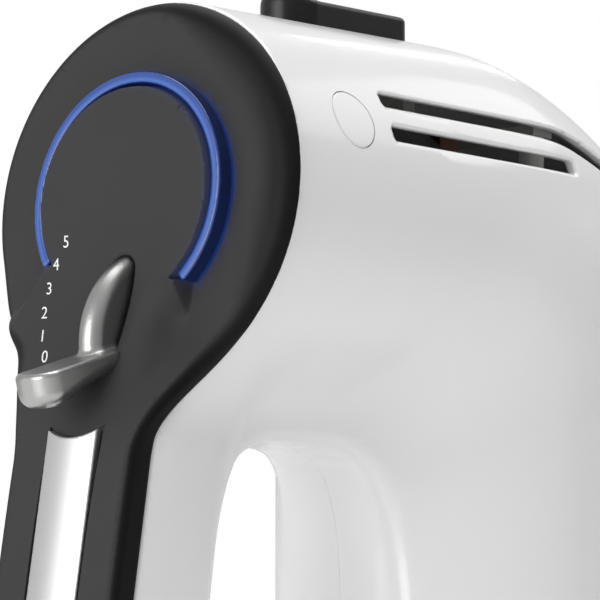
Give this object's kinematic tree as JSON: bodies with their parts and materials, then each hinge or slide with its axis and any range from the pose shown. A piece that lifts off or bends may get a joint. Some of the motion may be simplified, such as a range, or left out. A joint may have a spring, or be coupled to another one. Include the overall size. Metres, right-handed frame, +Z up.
{
  "type": "hand mixer",
  "caption": "Upright-grip electric hand mixer with a round head, thumb speed lever, eject button and removable wire beaters.",
  "frame": {"origin": "middle of the foot pad under the grip, on the surface it rests on when the beaters are out", "axes": "+Z up through the head, +Y from the grip towards the nose, +X towards the side with the screw heads"},
  "size_m": [0.0777, 0.2065, 0.3192],
  "materials": {
    "white_shell": "gloss",
    "white_cap": "gloss",
    "soft_touch_dark": "soft-touch matte with a gloss rim",
    "blue_lamp": "gloss, lit from behind",
    "polished_inlay": "polished",
    "black_button": "satin",
    "natural_nylon": "matte",
    "spring_steel": "satin",
    "screw_steel": "satin",
    "satin_lever": "satin silver paint",
    "pin_steel": "ground",
    "gray_nylon": "matte",
    "switch_housing": "matte",
    "board_green": "satin",
    "lamination_steel": "satin",
    "copper_wire": "varnished",
    "copper_bars": "polished",
    "worm_steel": "ground",
    "bronze": "sintered",
    "brass_tube": "satin",
    "carbon": "matte",
    "white_acetal": "satin",
    "spindle_steel": "ground",
    "socket_dark": "satin",
    "beater_chrome": "polished",
    "black_rubber": "matte",
    "lead_sleeve": "matte"
  },
  "bodies": {
    "housing": {"case_right": "white_shell", "case_left": "white_shell", "rear_cover": "soft_touch_dark", "light_ring": "blue_lamp", "grip_inlay": "polished_inlay", "screw_cap": "white_cap", "case_screws": "screw_steel", "lever_pin": "pin_steel", "lever_bracket": "gray_nylon", "speed_switch": "switch_housing", "led_board": "board_green", "control_board": "board_green", "stator_core": "lamination_steel", "field_coils": "copper_wire", "shaft_bushes": "bronze", "brush_bridge": "switch_housing", "brush_holders": "brass_tube", "carbon_brushes": "carbon", "brush_springs": "spring_steel", "gear_case": "gray_nylon", "gear_cover": "gray_nylon", "gear_case_screws": "screw_steel", "spindle_bushes": "bronze", "socket_plate": "socket_dark", "cord_gland": "black_rubber", "foot_pad": "black_rubber", "power_leads": "lead_sleeve", "eject_spring": "spring_steel"},
    "rotor": {"rotor_core": "lamination_steel", "rotor_windings": "copper_wire", "commutator": "copper_bars", "motor_shaft": "pin_steel", "worm": "worm_steel", "cooling_fan": "natural_nylon"},
    "drive_left": {"worm_gear_left": "white_acetal", "spindle_left": "spindle_steel"},
    "drive_right": {"worm_gear_right": "white_acetal", "spindle_right": "spindle_steel"},
    "whisk_left": {"beater_left": "beater_chrome"},
    "whisk_right": {"beater_right": "beater_chrome"},
    "ejector": {"eject_button": "black_button", "eject_fork": "natural_nylon"},
    "lever": {"speed_lever": "satin_lever"}
  },
  "joints": [
    {"name": "rotor_spin", "type": "hinge", "parent": "housing", "child": "rotor", "pos_m": [0, 0.112, 0.156], "axis": [0, 1, 0], "continuous": true},
    {"name": "drive_left_spin", "type": "hinge", "parent": "housing", "child": "drive_left", "pos_m": [-0.0175, 0.112, 0.1], "axis": [0, 0, 1], "continuous": true},
    {"name": "drive_right_spin", "type": "hinge", "parent": "housing", "child": "drive_right", "pos_m": [0.0175, 0.112, 0.1], "axis": [0, 0, 1], "continuous": true},
    {"name": "whisk_left_pull", "type": "slide", "parent": "drive_left", "child": "whisk_left", "axis": [0, 0, -1], "range_m": [0, 0.04]},
    {"name": "whisk_right_pull", "type": "slide", "parent": "drive_right", "child": "whisk_right", "axis": [0, 0, -1], "range_m": [0, 0.04]},
    {"name": "eject_press", "type": "slide", "parent": "housing", "child": "ejector", "axis": [0, 0, -1], "range_m": [0, 0.004], "stiffness_N_per_m": 700, "springref_m": -0.003, "deforming": ["eject_spring"]},
    {"name": "lever_swing", "type": "hinge", "parent": "housing", "child": "lever", "pos_m": [0, 0.013, 0.1292], "axis": [-1, 0, 0], "range_deg": [0, 40]}
  ],
  "couplings": [
    {"joint": "drive_left_spin", "follows": "rotor_spin", "ratio": 0.074074},
    {"joint": "drive_right_spin", "follows": "rotor_spin", "ratio": -0.074074}
  ]
}
